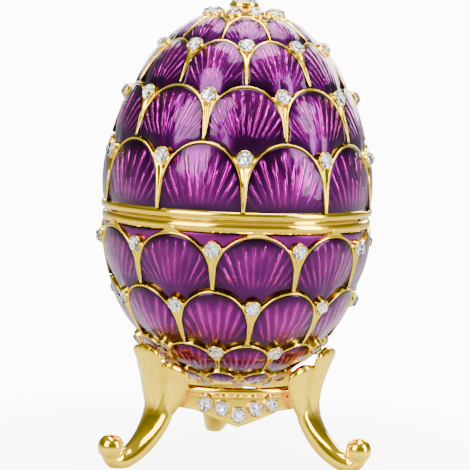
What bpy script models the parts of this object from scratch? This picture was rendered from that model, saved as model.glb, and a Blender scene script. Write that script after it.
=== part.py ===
"""A jewelled egg trinket box on a three-legged stand.

The egg is two hollow castings, a base and a lid that lifts off, covered in rows of
overlapping scales with a crystal at each junction. It rests between the leaves of a cast
stand. Units are metres, +Z is up, the stand's front pendant faces -Y and the origin is the
middle of the footprint, on the surface that the feet stand on.
"""

import math

import bmesh
import bpy
from mathutils import Matrix, Vector

# Egg: each half is half an ellipse turned about the egg's axis, measured from the seam
EGG_RADIUS = 0.0200
LID_OVERHANG = 0.0002
LID_RISE = 0.0306
BASE_DEPTH = 0.0260
EGG_POLE_HEIGHT = 0.0114
SEAM_GAP = 0.0003
WALL = 0.0018
BASE_FLOOR = 0.0012

# Rims and the lip that keeps the lid in place
RIM_BULGE = 0.00035
LID_RIM_HEIGHT = 0.0013
BASE_RIM_HEIGHT = 0.0015
RIM_ROUNDING = 0.25
LID_RIM_WALL = 0.0013
LIP_HEIGHT = 0.0014
LIP_THICKNESS = 0.0008
LIP_CLEARANCE = 0.0003
LIP_ROOT = 0.0003

# Scales: rows are counted upward, as degrees along the ellipse from the seam
SCALES_PER_ROW = 10
LID_ROWS_START = 2.6
LID_ROW_ARCS = (18.4, 17.0, 18.0, 14.5)
BASE_ROWS_START = -75.0
BASE_ROW_ARCS = (14.0, 16.5, 21.6, 18.5)
BASE_ROWS_END = -3.6
SCALE_RISE = 0.0005
SCALE_CROWN = 0.00035
SCALE_CROWN_SHARE = 0.6
LINE_WIDTH = 0.00032
LINE_RISE = 0.0001
WEDGE_SINK = 0.00025
STEP_ARC = 0.25
ARCH_ROUNDNESS = 3.0
LID_JEWEL_SHARES = (0.785, 0.82, 0.85, 0.85)
BASE_JEWEL_SHARES = (0.76, 0.84, 0.76, 0.76)

# Crystals and the round seats that they stand on
JEWEL_DIAMETER = 0.0022
JEWEL_HEIGHT = 0.0008
JEWEL_TABLE = 0.62
JEWEL_SIDES = 6
JEWEL_GAP = 0.0003
SEAT_LAP = 0.0006
SEAT_SPREAD = 0.3
SEAT_BORDER = 0.00015
SET_DEPTH = 0.0009
CROWN_JEWEL_ARC = 75.5
CROWN_RADIUS = 0.0034
CROWN_RISE = 0.0003
FINIAL_DIAMETER = 0.0043
FINIAL_HEIGHT = 0.0012
FINIAL_SIDES = 8
CUP_HEIGHT = 0.0007
CUP_NECK_RADIUS = 0.0016
CUP_RIM_SHARE = 0.3
CUP_FOOT_INSET = 0.0001

# Stand ring and its pendant plates
LEGS = 3
RING_RADIUS = 0.0126
RING_TOP = 0.0125
RING_BEAD = 0.0013
BEAD_ROUNDING = 0.3
PLATE_THICKNESS = 0.0013
PLATE_INSET = 0.0004
PLATE_TIP_HEIGHT = 0.0066
PLATE_SIDE_HEIGHT = 0.0088
PLATE_HALF_ARC = 31.0
PLATE_JEWELS = 5
PLATE_JEWEL_PITCH = 11.5
PLATE_JEWEL_MARGIN = 0.0019
PLATE_JEWEL_LIFT = 0.00095
PLATE_JEWEL_BEND = 0.6

# Legs, as radius from the egg's axis and height above the ground
LEAF_TOP = 0.0182
LEAF_THICKNESS = 0.0016
LEAF_WIDTH = 0.0068
CRADLE_GAP = 0.0003
JEWEL_LEAN = 0.75
SIDE_LOBE_TOP = 0.0156
SIDE_LOBE_ARC = 18.0
SIDE_LOBE_WIDTH = 0.0056
STEM_LAP = 0.0005
STEM_HEIGHT = 0.0080
STEM_WIDTH = 0.0066
STEM_THICKNESS = 0.0028
FOOT_RADIUS = 0.0213
FOOT_WIDTH = 0.0038
FOOT_THICKNESS = 0.0028
FOOT_FLAT = 0.00045
BALL_RADIUS = 0.00195
BALL_HEIGHT = 0.00315
LEG_SIDES = 8
LEG_STATIONS = 13
LOBE_SIDES = 6
LOBE_STATIONS = 6

# Turns about the upright axis, in degrees, positive from the front towards +X
LID_TURN = -4.05
BASE_TURN = -15.7

# Columns of the scale lattice, as shares of one scale's width
COLUMN_SHARES = (0.0, 0.12, 0.31, 0.50, 0.69, 0.88)
BOWL_STEPS = 24
BOWL_RINGS = 5
RING_COLUMNS = 36

SEAM_HEIGHT = EGG_POLE_HEIGHT + BASE_DEPTH
SCALE_PITCH = 360.0 / SCALES_PER_ROW
LID_BOWL_RADIUS = EGG_RADIUS + LID_OVERHANG - LID_RIM_WALL
LIP_RADIUS = LID_BOWL_RADIUS - LIP_CLEARANCE
PLATE_RADIUS = RING_RADIUS - PLATE_INSET
STEM_RADIUS = PLATE_RADIUS - STEM_LAP + STEM_THICKNESS / 2


class Half:
    """One half of the egg: an ellipse above or below the seam."""

    def __init__(self, radius, rise):
        self.radius = radius
        self.rise = rise

    def point(self, arc, offset=0.0):
        """Radius and height at an arc along the ellipse, raised along its normal."""
        turn = math.radians(arc)
        out = self.normal(arc)
        radius = self.radius * math.cos(turn) + offset * out.x
        height = SEAM_HEIGHT + self.rise * math.sin(turn) + offset * out.y
        return radius, height

    def normal(self, arc):
        """The surface's outward direction, as radius and height."""
        turn = math.radians(arc)
        return Vector((self.rise * math.cos(turn), self.radius * math.sin(turn))).normalized()

    def arc_of(self, length, arc):
        """The arc that covers a length along the surface near a given arc."""
        turn = math.radians(arc)
        per_turn = math.hypot(self.radius * math.sin(turn), self.rise * math.cos(turn))
        return math.degrees(length / per_turn)


LID = Half(EGG_RADIUS + LID_OVERHANG, LID_RISE)
BASE = Half(EGG_RADIUS, BASE_DEPTH)


def upright(radius, angle, height):
    """A point at an angle from the front, in degrees."""
    turn = math.radians(angle)
    return Vector((radius * math.sin(turn), -radius * math.cos(turn), height))


def clear_scene():
    for obj in list(bpy.data.objects):
        bpy.data.objects.remove(obj, do_unlink=True)


def new_collection(name, hidden=False):
    collection = bpy.data.collections.new(name)
    collection.hide_render = hidden
    bpy.context.scene.collection.children.link(collection)
    return collection


def new_material(name, colour, roughness, metallic, transmission=0.0):
    material = bpy.data.materials.new(name)
    material.use_nodes = True
    shader = material.node_tree.nodes["Principled BSDF"]
    shader.inputs["Base Color"].default_value = (*colour, 1.0)
    shader.inputs["Roughness"].default_value = roughness
    shader.inputs["Metallic"].default_value = metallic
    shader.inputs["Transmission Weight"].default_value = transmission
    return material


def add_object(name, mesh, collection, parent, material):
    obj = bpy.data.objects.new(name, mesh)
    collection.objects.link(obj)
    obj.parent = parent
    if material and not mesh.materials:
        mesh.materials.append(material)
    return obj


def shaded(mesh, angle=35.0):
    mesh.shade_smooth()
    mesh.set_sharp_from_angle(angle=math.radians(angle))
    return mesh


def lofted(name, sections, closed=False):
    """A closed skin through sections of equally many points.

    The ends are capped, or joined to each other where the loft runs in a circle.
    """
    shape = bmesh.new()
    rings = [[shape.verts.new(point) for point in section] for section in sections]
    count = len(rings[0])
    pairs = list(zip(rings, rings[1:]))
    if closed:
        pairs.append((rings[-1], rings[0]))
    for low, high in pairs:
        for i in range(count):
            j = (i + 1) % count
            shape.faces.new((low[i], low[j], high[j], high[i]))
    if not closed:
        shape.faces.new(list(reversed(rings[0])))
        shape.faces.new(rings[-1])
    bmesh.ops.recalc_face_normals(shape, faces=shape.faces)
    mesh = bpy.data.meshes.new(name)
    shape.to_mesh(mesh)
    shape.free()
    return mesh


def joined(name, placed):
    """One mesh of (mesh, matrix) pairs that don't touch each other."""
    shape = bmesh.new()
    for mesh, matrix in placed:
        copy = mesh.copy()
        copy.transform(matrix)
        shape.from_mesh(copy)
        bpy.data.meshes.remove(copy)
    mesh = bpy.data.meshes.new(name)
    shape.to_mesh(mesh)
    shape.free()
    return mesh


def turned(name, profile, steps, collection, parent):
    """A solid of revolution from a profile of (radius, height), top to bottom."""
    mesh = bpy.data.meshes.new(name)
    points = [(radius, 0.0, height) for radius, height in profile]
    mesh.from_pydata(points, [(i, i + 1) for i in range(len(points) - 1)], [])
    obj = add_object(name, mesh, collection, parent, None)
    screw = obj.modifiers.new("turn", "SCREW")
    screw.steps = steps
    screw.render_steps = steps
    screw.use_merge_vertices = True
    screw.merge_threshold = 0.00001
    return obj


def as_cutter(obj):
    obj.hide_render = True
    obj.display_type = "WIRE"
    return obj


def boolean(obj, other, operation):
    step = obj.modifiers.new(f"{operation.lower()} {other.name}", "BOOLEAN")
    step.operation = operation
    step.solver = "EXACT"
    step.object = other


def scale_offset(angle, phase):
    """How far an angle is from the middle of its scale: 0 at the middle, 1 at the junction."""
    share = angle / SCALE_PITCH - phase
    return abs((share + 0.5) % 1.0 - 0.5) * 2.0


def scale_rows(half, start, arcs, jewel_shares, first_phase):
    """The rows of one half, upward: where each starts and ends, and where its crystals sit."""
    rows = []
    low = start
    for number, (arc, share) in enumerate(zip(arcs, jewel_shares)):
        top = low + arc
        line = half.arc_of(LINE_WIDTH, top)
        cusp = low + line + 2 * STEP_ARC if number else low + STEP_ARC
        rows.append(
            {
                "cusp": cusp,
                "top": top,
                "line": line,
                "jewel": cusp + share * (top - cusp),
                "lap": half.arc_of(SEAT_LAP, top),
                "phase": (first_phase + 0.5 * number) % 1.0,
            }
        )
        low = top
    return rows


def arch(row, angle):
    """The inner edge of a scale's gold line at an angle."""
    across = scale_offset(angle, row["phase"])
    height = (row["top"] - row["cusp"]) * (1.0 - across**2) ** (1.0 / ARCH_ROUNDNESS)
    return row["cusp"] + height


def line_edge(row, angle):
    """The outer edge of the gold, which fills the wedge below each crystal and backs it."""
    beside = (1.0 - scale_offset(angle, row["phase"])) / SEAT_SPREAD
    backing = row["jewel"] + row["lap"] * (1.0 - beside)
    return max(arch(row, angle) + row["line"], backing)


def scale_rings(half, rows, start, end, end_rise, angles):
    """Rings of points over the scales, from the lower edge to the upper one."""
    rings = []
    lower = {angle: start for angle in angles}
    for row in rows:
        foot, crown, edge, brim = [], [], [], []
        for angle in angles:
            low = lower[angle]
            inner = arch(row, angle)
            outer = line_edge(row, angle)
            across = scale_offset(angle, row["phase"])
            swell = SCALE_CROWN * (1.0 - across**2)
            foot.append((low, 0.0))
            crown.append(((low + inner) / 2, SCALE_CROWN_SHARE * SCALE_RISE + swell))
            edge.append((inner, SCALE_RISE))
            sink = WEDGE_SINK * across**4
            brim.append((outer, SCALE_RISE + LINE_RISE - sink))
            lower[angle] = outer + STEP_ARC
        rings += [foot, crown, edge, brim]
    rings.append([(lower[angle], end_rise) for angle in angles])
    rings.append([(end, end_rise) for _ in angles])
    return [
        [upright(r, a, z) for a, (r, z) in zip(angles, (half.point(*at) for at in ring))]
        for ring in rings
    ]


def rim_ring(radius, height, angles):
    return [upright(radius, angle, height) for angle in angles]


def lattice_angles():
    return [
        SCALE_PITCH * (number + share)
        for number in range(SCALES_PER_ROW)
        for share in COLUMN_SHARES
    ]


LID_ROWS = scale_rows(LID, LID_ROWS_START, LID_ROW_ARCS, LID_JEWEL_SHARES, 0.5)
BASE_ROWS = scale_rows(BASE, BASE_ROWS_START, BASE_ROW_ARCS, BASE_JEWEL_SHARES, 0.0)


def seat_matrix(half, arc, angle, rise):
    """Places a piece's own +Z along the egg's normal, its foot at a rise above the surface."""
    radius, height = half.point(arc, rise)
    out = half.normal(arc)
    direction = upright(out.x, angle, out.y)
    turn = direction.to_track_quat("Z", "Y").to_matrix().to_4x4()
    return Matrix.Translation(upright(radius, angle, height)) @ turn


def row_places(half, row, rise):
    """A matrix for each crystal of a row, at the junctions between its scales."""
    first = SCALE_PITCH * (row["phase"] + 0.5)
    return [
        seat_matrix(half, row["jewel"], first + SCALE_PITCH * number, rise)
        for number in range(SCALES_PER_ROW)
    ]


def crown_places(rise):
    row = LID_ROWS[-1]
    first = SCALE_PITCH * (row["phase"] + 0.5)
    return [
        seat_matrix(LID, CROWN_JEWEL_ARC, first + SCALE_PITCH * number, rise)
        for number in range(SCALES_PER_ROW)
    ]


def ring_of(radius, height, sides):
    return [upright(radius, 360.0 * (i + 0.5) / sides, height) for i in range(sides)]


def gem_mesh(name, diameter, height, sides):
    """A cut crystal: a girdle and a smaller flat table."""
    girdle = diameter / 2
    return lofted(
        name,
        [
            ring_of(girdle, 0.0, sides),
            ring_of(girdle * JEWEL_TABLE, height, sides),
        ],
    )


def set_gem_mesh(name):
    """A crystal fused with the casting that it is set in."""
    girdle = JEWEL_DIAMETER / 2
    return lofted(
        name,
        [
            ring_of(girdle + SEAT_BORDER, -SET_DEPTH, JEWEL_SIDES),
            ring_of(girdle + SEAT_BORDER, JEWEL_GAP, JEWEL_SIDES),
            ring_of(girdle * JEWEL_TABLE, JEWEL_GAP + JEWEL_HEIGHT, JEWEL_SIDES),
        ],
    )


def bowl_profile(radius, depth, side, mouth):
    """Inner form of a half: a quarter ellipse with a straight mouth past the seam.

    The side is 1 for the lid's hollow, above the seam, and -1 for the base's.
    """
    turns = [math.pi / 2 * i / BOWL_RINGS for i in range(BOWL_RINGS)]
    quarter = [
        (radius * math.cos(turn), SEAM_HEIGHT + side * depth * math.sin(turn))
        for turn in turns
    ]
    quarter.append((0.0, SEAM_HEIGHT + side * depth))
    lip = SEAM_HEIGHT - side * mouth
    points = [(0.0, lip), (radius, lip)] + quarter
    return points if side < 0 else list(reversed(points))


def make_base(parts, cutters, parent, enamel):
    angles = lattice_angles()
    rows = scale_rings(BASE, BASE_ROWS, BASE_ROWS_START, BASE_ROWS_END, 0.0, angles)
    rim = [
        (EGG_RADIUS + RIM_BULGE, SEAM_HEIGHT - (1 - RIM_ROUNDING) * BASE_RIM_HEIGHT),
        (EGG_RADIUS + RIM_BULGE, SEAM_HEIGHT - RIM_ROUNDING * BASE_RIM_HEIGHT),
        (EGG_RADIUS, SEAM_HEIGHT),
    ]
    rings = rows + [rim_ring(radius, height, angles) for radius, height in rim]
    base = add_object("base", shaded(lofted("base", rings)), parts, parent, enamel)

    jewels = [place for row in BASE_ROWS[1:] for place in row_places(BASE, row, SCALE_RISE)]
    gem = set_gem_mesh("set gem")
    mesh = joined("base crystals", [(gem, place) for place in jewels])
    boolean(base, as_cutter(add_object("base crystals", mesh, cutters, parent, None)), "UNION")
    bpy.data.meshes.remove(gem)

    bowl_radius = LIP_RADIUS - LIP_THICKNESS
    inner = bowl_radius - LIP_ROOT
    section = [
        (inner, SEAM_HEIGHT + LIP_HEIGHT),
        (LIP_RADIUS, SEAM_HEIGHT + LIP_HEIGHT),
        (LIP_RADIUS, SEAM_HEIGHT - LIP_HEIGHT),
        (inner, SEAM_HEIGHT - LIP_HEIGHT),
        (inner, SEAM_HEIGHT + LIP_HEIGHT),
    ]
    lip = turned("base lip", section, BOWL_STEPS, cutters, parent)
    boolean(base, as_cutter(lip), "UNION")

    depth = SEAM_HEIGHT - BASE.point(BASE_ROWS_START)[1] - BASE_FLOOR
    profile = bowl_profile(bowl_radius, depth, -1, 2 * LIP_HEIGHT)
    bowl = turned("base hollow", profile, BOWL_STEPS, cutters, parent)
    boolean(base, as_cutter(bowl), "DIFFERENCE")


def make_lid(parts, cutters, parent, enamel):
    angles = lattice_angles()
    foot = SEAM_HEIGHT + SEAM_GAP
    rim = [
        (LID.radius, foot),
        (LID.radius + RIM_BULGE, foot + RIM_ROUNDING * LID_RIM_HEIGHT),
        (LID.radius + RIM_BULGE, foot + (1 - RIM_ROUNDING) * LID_RIM_HEIGHT),
    ]
    crown_arc = math.degrees(math.acos(CROWN_RADIUS / LID.radius))
    rows = scale_rings(LID, LID_ROWS, LID_ROWS_START, crown_arc, CROWN_RISE, angles)
    rings = [rim_ring(radius, height, angles) for radius, height in rim] + rows
    lid = add_object("lid", shaded(lofted("lid", rings)), parts, parent, enamel)

    crown_height = LID.point(crown_arc)[1]
    top = SEAM_HEIGHT + LID_RISE + CUP_HEIGHT
    cup_radius = FINIAL_DIAMETER / 2 + SEAT_BORDER
    foot_radius = CROWN_RADIUS - CUP_FOOT_INSET
    section = [
        (0.0, top),
        (cup_radius, top),
        (cup_radius, top - CUP_RIM_SHARE * CUP_HEIGHT),
        (CUP_NECK_RADIUS, top - CUP_HEIGHT),
        (foot_radius, crown_height),
        (foot_radius, crown_height - SET_DEPTH),
        (0.0, crown_height - SET_DEPTH),
    ]
    cup = turned("finial cup", section, 2 * FINIAL_SIDES, cutters, parent)
    boolean(lid, as_cutter(cup), "UNION")
    profile = bowl_profile(LID_BOWL_RADIUS, LID_RISE - WALL, 1, 2 * SEAM_GAP)
    bowl = turned("lid hollow", profile, BOWL_STEPS, cutters, parent)
    boolean(lid, as_cutter(bowl), "DIFFERENCE")


def make_lid_crystals(parts, parent, crystal):
    gem = shaded(gem_mesh("crystal", JEWEL_DIAMETER, JEWEL_HEIGHT, JEWEL_SIDES), 10)
    rise = SCALE_RISE + LINE_RISE + JEWEL_GAP
    for row_number, row in enumerate(LID_ROWS[:-1], 1):
        for number, place in enumerate(row_places(LID, row, rise), 1):
            name = f"lid_crystal_row{row_number}_{number:02d}"
            add_object(name, gem, parts, parent, crystal).matrix_local = place
    for number, place in enumerate(crown_places(CROWN_RISE + JEWEL_GAP), 1):
        name = f"crown_crystal_{number:02d}"
        add_object(name, gem, parts, parent, crystal).matrix_local = place
    big = shaded(gem_mesh("finial crystal", FINIAL_DIAMETER, FINIAL_HEIGHT, FINIAL_SIDES), 10)
    top = SEAM_HEIGHT + LID_RISE + CUP_HEIGHT + JEWEL_GAP
    finial = add_object("finial_crystal", big, parts, parent, crystal)
    finial.location = (0.0, 0.0, top)


def plate_foot(angle):
    """Height of the pendant plates' lower edge at an angle."""
    step = 360.0 / LEGS
    away = abs((angle + step / 2) % step - step / 2)
    share = min(away / PLATE_HALF_ARC, 1.0)
    return PLATE_TIP_HEIGHT + (PLATE_SIDE_HEIGHT - PLATE_TIP_HEIGHT) * share


def ring_section(angle):
    """The ring's section at an angle: a bead on top of a plate."""
    inner = PLATE_RADIUS - PLATE_THICKNESS
    rounding = BEAD_ROUNDING * RING_BEAD
    bead_foot = RING_TOP - RING_BEAD
    foot = plate_foot(angle)
    outline = [
        (inner + rounding, RING_TOP),
        (RING_RADIUS - rounding, RING_TOP),
        (RING_RADIUS, RING_TOP - rounding),
        (RING_RADIUS, bead_foot + rounding),
        (PLATE_RADIUS, bead_foot),
        (PLATE_RADIUS, foot),
        (inner, foot),
        (inner, RING_TOP - rounding),
    ]
    return [upright(radius, angle, height) for radius, height in outline]


def smooth_path(points, count):
    """Points spread along a smooth curve through the given ones."""
    ends = [2 * points[0] - points[1]] + points + [2 * points[-1] - points[-2]]
    found = []
    spans = len(points) - 1
    for i in range(count):
        along = spans * i / (count - 1)
        k = min(int(along), spans - 1)
        t = along - k
        a, b, c, d = ends[k : k + 4]
        bend = (2 * a - 5 * b + 4 * c - d) * t**2 + (3 * b - a - 3 * c + d) * t**3
        found.append(0.5 * (2 * b + (c - a) * t + bend))
    return found


def leg_loft(name, route, stations, sides):
    """A solid along a route of (radius, angle, height, width, thickness) points.

    Each section lies across the route, its width along the ring and a ridge outside.
    """
    path = smooth_path([Vector(point) for point in route], stations)
    spots = [upright(p[0], p[1], p[2]) for p in path]
    sections = []
    for i, (p, spot) in enumerate(zip(path, spots)):
        along = spots[min(i + 1, stations - 1)] - spots[max(i - 1, 0)]
        out = upright(1.0, p[1], 0.0)
        side = out.cross(Vector((0, 0, 1))).normalized()
        side = (side - side.project(along)).normalized()
        face = along.cross(side).normalized()
        section = []
        for j in range(sides):
            turn = 2 * math.pi * j / sides
            section.append(
                spot + side * (0.5 * p[3] * math.cos(turn)) + face * (0.5 * p[4] * math.sin(turn))
            )
        sections.append(section)
    return lofted(name, sections)


def leaf_tip_radius():
    """The leaf's middle at its tip, clear of the egg's crystals that lean on it."""
    drop = (SEAM_HEIGHT - LEAF_TOP) / BASE_DEPTH
    egg = EGG_RADIUS * math.sqrt(max(1.0 - drop**2, 0.0))
    jewels = JEWEL_LEAN * (SCALE_RISE + JEWEL_GAP + JEWEL_HEIGHT)
    return egg + jewels + CRADLE_GAP + LEAF_THICKNESS / 2


def leg_route():
    """The middle leaf, the stem behind it and the foot, from the tip down to the curl.

    The stem's back runs into the ring's plate. Below it the leg swings out to the foot,
    whose underside is cut flat by the ground, and its end curls up round the ball.
    """
    tip = leaf_tip_radius()
    lean = tip - STEM_RADIUS
    reach = FOOT_RADIUS - STEM_RADIUS
    waist = RING_TOP - RING_BEAD
    sole = FOOT_THICKNESS / 2 - FOOT_FLAT
    leaf, stem, foot = LEAF_THICKNESS, STEM_THICKNESS, FOOT_THICKNESS
    shapes = [
        (tip, LEAF_TOP, 0.35 * LEAF_WIDTH, 0.6 * leaf),
        (tip - 0.12 * leaf, LEAF_TOP - 0.16 * LEAF_WIDTH, LEAF_WIDTH, leaf),
        (STEM_RADIUS + 0.62 * lean, LEAF_TOP - 0.5 * LEAF_WIDTH, 0.92 * LEAF_WIDTH, leaf),
        (STEM_RADIUS + 0.12 * leaf, waist, 0.8 * LEAF_WIDTH, stem),
        (STEM_RADIUS, STEM_HEIGHT, STEM_WIDTH, stem),
        (STEM_RADIUS + 0.12 * reach, 0.70 * STEM_HEIGHT, 0.9 * STEM_WIDTH, stem),
        (STEM_RADIUS + 0.32 * reach, 0.42 * STEM_HEIGHT, 0.72 * STEM_WIDTH, 1.05 * foot),
        (STEM_RADIUS + 0.58 * reach, sole + 0.25 * foot, FOOT_WIDTH, foot),
        (STEM_RADIUS + 0.83 * reach, sole, 0.84 * FOOT_WIDTH, foot),
        (STEM_RADIUS + 1.01 * reach, sole + 0.2 * foot, 0.7 * FOOT_WIDTH, 0.75 * foot),
        (STEM_RADIUS + 1.05 * reach, BALL_HEIGHT - 0.2 * foot, 0.55 * FOOT_WIDTH, 0.5 * foot),
    ]
    return [(radius, 0.0, height, width, thick) for radius, height, width, thick in shapes]


def lobe_route(side):
    """A side lobe of the leaf, which leans away from the stem; the side is -1 or 1."""
    arc = side * SIDE_LOBE_ARC
    wide = SIDE_LOBE_WIDTH
    thick = LEAF_THICKNESS
    drop = SIDE_LOBE_TOP - STEM_HEIGHT
    return [
        (STEM_RADIUS + 0.60 * thick, 1.05 * arc, SIDE_LOBE_TOP, 0.35 * wide, 0.5 * thick),
        (STEM_RADIUS + 0.55 * thick, arc, SIDE_LOBE_TOP - 0.1 * drop, 0.85 * wide, thick),
        (STEM_RADIUS + 0.25 * thick, 0.85 * arc, SIDE_LOBE_TOP - 0.34 * drop, wide, thick),
        (STEM_RADIUS, 0.55 * arc, SIDE_LOBE_TOP - 0.7 * drop, 0.9 * wide, 1.2 * thick),
        (STEM_RADIUS, 0.2 * arc, STEM_HEIGHT - 0.1 * drop, 0.55 * wide, 1.2 * thick),
    ]


def leg_pieces():
    """The leg with its middle leaf, and the leaf's two side lobes."""
    leg = leg_loft("leg", leg_route(), LEG_STATIONS, LEG_SIDES)
    lobes = [
        leg_loft(f"{name} lobe", lobe_route(side), LOBE_STATIONS, LOBE_SIDES)
        for name, side in (("left", -1), ("right", 1))
    ]
    return [leg] + lobes


def make_ball(name):
    shape = bmesh.new()
    bmesh.ops.create_uvsphere(shape, u_segments=8, v_segments=6, radius=BALL_RADIUS)
    bmesh.ops.translate(shape, verts=shape.verts, vec=upright(FOOT_RADIUS, 0.0, BALL_HEIGHT))
    mesh = bpy.data.meshes.new(name)
    shape.to_mesh(mesh)
    shape.free()
    return mesh


def make_ground(cutters, parent):
    """A block whose top is the surface that the feet stand on."""
    reach = 4 * FOOT_RADIUS
    size = Matrix.Diagonal((reach, reach, reach, 1.0))
    shape = bmesh.new()
    bmesh.ops.create_cube(shape, size=1.0, matrix=Matrix.Translation((0.0, 0.0, -reach / 2)) @ size)
    mesh = bpy.data.meshes.new("ground")
    shape.to_mesh(mesh)
    shape.free()
    return as_cutter(add_object("ground", mesh, cutters, parent, None))


def make_stand(parts, cutters, parent, gold):
    angles = [360.0 * i / RING_COLUMNS for i in range(RING_COLUMNS)]
    ring = lofted("stand", [ring_section(angle) for angle in angles], closed=True)
    stand = add_object("stand", shaded(ring), parts, parent, gold)
    step = 2 * math.pi / LEGS
    turns = [Matrix.Rotation(step * (k + 0.5), 4, "Z") for k in range(LEGS)]
    for mesh in leg_pieces() + [make_ball("ball")]:
        copies = joined(f"{mesh.name} copies", [(mesh, turn) for turn in turns])
        other = add_object(f"{mesh.name} set", copies, cutters, parent, None)
        boolean(stand, as_cutter(other), "UNION")
        bpy.data.meshes.remove(mesh)
    boolean(stand, make_ground(cutters, parent), "DIFFERENCE")


def make_stand_crystals(parts, parent, crystal):
    gem = shaded(gem_mesh("stand crystal", JEWEL_DIAMETER, JEWEL_HEIGHT, JEWEL_SIDES), 10)
    radius = PLATE_RADIUS + JEWEL_GAP
    sides = ("front", "right", "left")
    middle = (PLATE_JEWELS - 1) / 2
    for k, side in enumerate(sides[:LEGS]):
        for number in range(PLATE_JEWELS):
            away = number - middle
            angle = 360.0 * k / LEGS + PLATE_JEWEL_PITCH * away
            lift = PLATE_JEWEL_LIFT * abs(away) ** PLATE_JEWEL_BEND
            height = PLATE_TIP_HEIGHT + PLATE_JEWEL_MARGIN + lift
            out = upright(1.0, angle, 0.0)
            place = Matrix.Translation(upright(radius, angle, height))
            turn = out.to_track_quat("Z", "Y").to_matrix().to_4x4()
            obj = add_object(f"stand_crystal_{side}_{number + 1}", gem, parts, parent, crystal)
            obj.matrix_local = place @ turn


def centre_on_footprint(carrier, parts):
    """Moves the carrier so that the origin is the middle of the object's footprint."""
    bpy.context.view_layer.update()
    graph = bpy.context.evaluated_depsgraph_get()
    xs, ys = [], []
    for obj in parts.objects:
        if obj.type != "MESH":
            continue
        solid = obj.evaluated_get(graph)
        for vertex in solid.to_mesh().vertices:
            spot = obj.matrix_world @ vertex.co
            xs.append(spot.x)
            ys.append(spot.y)
        solid.to_mesh_clear()
    carrier.location.x = -(min(xs) + max(xs)) / 2
    carrier.location.y = -(min(ys) + max(ys)) / 2


def main():
    clear_scene()
    parts = new_collection("jewelled egg trinket box")
    cutters = new_collection("cutters", hidden=True)
    gold = new_material("gold plate", (0.86, 0.55, 0.14), 0.18, 1.0)
    enamel = new_material("purple enamel", (0.18, 0.02, 0.22), 0.12, 0.6)
    crystal = new_material("cut crystal", (0.9, 0.92, 0.95), 0.02, 0.0, 0.8)

    carrier = add_object("carrier", None, parts, None, None)
    lid_turn = add_object("lid turn", None, parts, carrier, None)
    lid_turn.rotation_euler.z = math.radians(LID_TURN)
    base_turn = add_object("base turn", None, parts, carrier, None)
    base_turn.rotation_euler.z = math.radians(BASE_TURN)

    make_base(parts, cutters, base_turn, enamel)
    make_lid(parts, cutters, lid_turn, enamel)
    make_lid_crystals(parts, lid_turn, crystal)
    make_stand(parts, cutters, carrier, gold)
    make_stand_crystals(parts, carrier, crystal)
    centre_on_footprint(carrier, parts)


main()
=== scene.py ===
"""The finish of a jewelled egg trinket box: gold casting, enamel scales, set crystals and stand.

Units are metres, +Z is up and the stand's front pendant faces -Y. Angles are degrees: those round
the egg's axis count from the front towards +X, and an arc runs along the egg from its seam.
"""

import math

import bmesh
import bpy
from bpy.props import FloatProperty, FloatVectorProperty, IntProperty, PointerProperty
from bpy.types import Operator, Panel, PropertyGroup
from mathutils import Matrix, Vector


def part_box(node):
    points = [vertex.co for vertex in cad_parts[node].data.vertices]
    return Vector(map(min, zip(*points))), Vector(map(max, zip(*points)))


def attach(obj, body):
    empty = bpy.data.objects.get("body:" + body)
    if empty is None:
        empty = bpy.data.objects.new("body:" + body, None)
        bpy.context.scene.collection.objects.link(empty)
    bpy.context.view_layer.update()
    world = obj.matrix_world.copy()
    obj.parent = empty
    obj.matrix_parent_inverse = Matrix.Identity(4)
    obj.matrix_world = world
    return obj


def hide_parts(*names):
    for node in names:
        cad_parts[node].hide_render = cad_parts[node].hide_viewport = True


bl_info = {
    "name": "Jewelled egg trinket box",
    "version": (1, 0, 0),
    "blender": (4, 5, 0),
    "location": "View3D > Sidebar > Jewelled egg",
    "description": "Builds an enamelled egg box with set crystals on a gold stand",
    "category": "Object",
}

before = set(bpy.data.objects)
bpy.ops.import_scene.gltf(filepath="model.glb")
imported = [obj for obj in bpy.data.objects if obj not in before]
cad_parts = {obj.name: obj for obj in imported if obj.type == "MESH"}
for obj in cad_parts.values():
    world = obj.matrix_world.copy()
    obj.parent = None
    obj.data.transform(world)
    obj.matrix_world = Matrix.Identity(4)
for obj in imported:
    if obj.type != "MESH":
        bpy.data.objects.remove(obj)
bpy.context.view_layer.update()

MM = 0.001
SEAM_GAP = 0.3 * MM
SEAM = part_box("lid")[0].z - SEAM_GAP
FINIAL_LOW, FINIAL_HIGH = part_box("finial_crystal")
AXIS_Y = (FINIAL_LOW.y + FINIAL_HIGH.y) / 2
LID_TURN = -4.05
BASE_TURN = -15.7

# Rows of scales, counted upward: where they start, how far each reaches, and at what share of
# its reach its crystals sit
SCALES = 10
SCALE_PITCH = 360.0 / SCALES
LID_START, LID_ARCS, LID_JEWEL_SHARES = 2.6, (18.4, 17.0, 18.0, 14.5), (0.785, 0.82, 0.85, 0.85)
BASE_START, BASE_ARCS, BASE_JEWEL_SHARES = -75.0, (14.0, 16.5, 21.6, 18.5), (0.76, 0.84, 0.76, 0.76)
BASE_END = -3.6
STEP_ARC = 0.25
CROWN_ARC = 75.5
LOWEST_ARC = -68.5

# An arch: its roundness, the share of it that is gold stem, how wide a crystal's seat spreads,
# and the gold that joins the uppermost arches of the base to the rim
ARCH_ROUNDNESS = 3.0
STEM_SHARE = 0.045
SEAT_SPREAD = 0.3
BRIDGE_ARC, BRIDGE_SLOPE = 1.8, 9.0

# The powers that round the rims, the gold lines and the enamel (0.5 gives about half an ellipse),
# and the share of a scale's rise by which its enamel swells even at its junctions
RIM_ROUNDNESS, LINE_ROUNDNESS, SWELL_ROUNDNESS = 0.55, 0.6, 0.8
LEAST_SWELL = 0.15

# Where the engraved rays meet, as a share of a scale's height below its foot
FAN_FOOT = 0.55

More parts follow.
